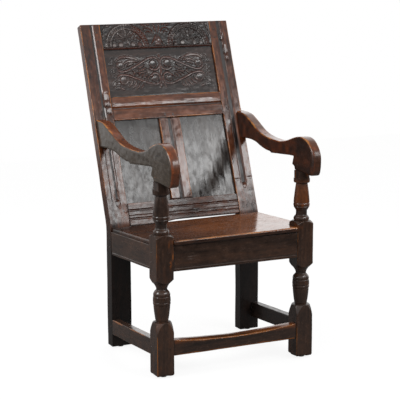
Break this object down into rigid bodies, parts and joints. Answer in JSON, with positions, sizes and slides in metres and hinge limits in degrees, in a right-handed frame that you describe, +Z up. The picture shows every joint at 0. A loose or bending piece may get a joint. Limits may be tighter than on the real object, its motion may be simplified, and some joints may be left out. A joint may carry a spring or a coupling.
{
  "type": "wainscot chair",
  "caption": "Joined oak armchair with a raked panelled and carved back, a plank seat, scrolled arms on turned front posts, and low box stretchers.",
  "frame": {"origin": "middle of the chair's overall box across and from front to back, on the floor under its foot glides", "axes": "+Z up; +Y from the seat's front to the back; +X to the right as seen by somebody in front of the chair, which is also what left and right mean in the names"},
  "size_m": [0.57, 0.7288, 1.0598],
  "materials": {
    "frame_oak": "dark waxed oak, glossy, worn brown along the edges",
    "panel_oak": "dark waxed riven oak, slightly greyer",
    "arm_oak": "waxed oak, worn warm brown by hands",
    "seat_oak": "waxed oak, polished by use",
    "peg_oak": "dark oak end grain",
    "glide_nylon": "brown nylon"
  },
  "bodies": {
    "root": {"left_front_post": "frame_oak", "right_front_post": "frame_oak", "left_back_stile": "frame_oak", "right_back_stile": "frame_oak", "crest_rail": "frame_oak", "middle_back_rail": "frame_oak", "lower_back_rail": "frame_oak", "back_muntin": "frame_oak", "front_seat_rail": "frame_oak", "back_seat_rail": "frame_oak", "left_seat_rail": "frame_oak", "right_seat_rail": "frame_oak", "front_stretcher": "frame_oak", "left_stretcher": "frame_oak", "right_stretcher": "frame_oak", "upper_back_panel": "panel_oak", "left_back_panel": "panel_oak", "right_back_panel": "panel_oak", "left_arm": "arm_oak", "right_arm": "arm_oak", "seat_board": "seat_oak", "arm_pegs": "peg_oak", "back_frame_pegs": "peg_oak", "back_rail_pegs": "peg_oak", "front_rail_pegs": "peg_oak", "front_stretcher_pegs": "peg_oak", "muntin_pegs": "peg_oak", "seat_pegs": "peg_oak", "side_rail_pegs": "peg_oak", "side_stretcher_pegs": "peg_oak", "foot_glides": "glide_nylon"}
  },
  "joints": []
}
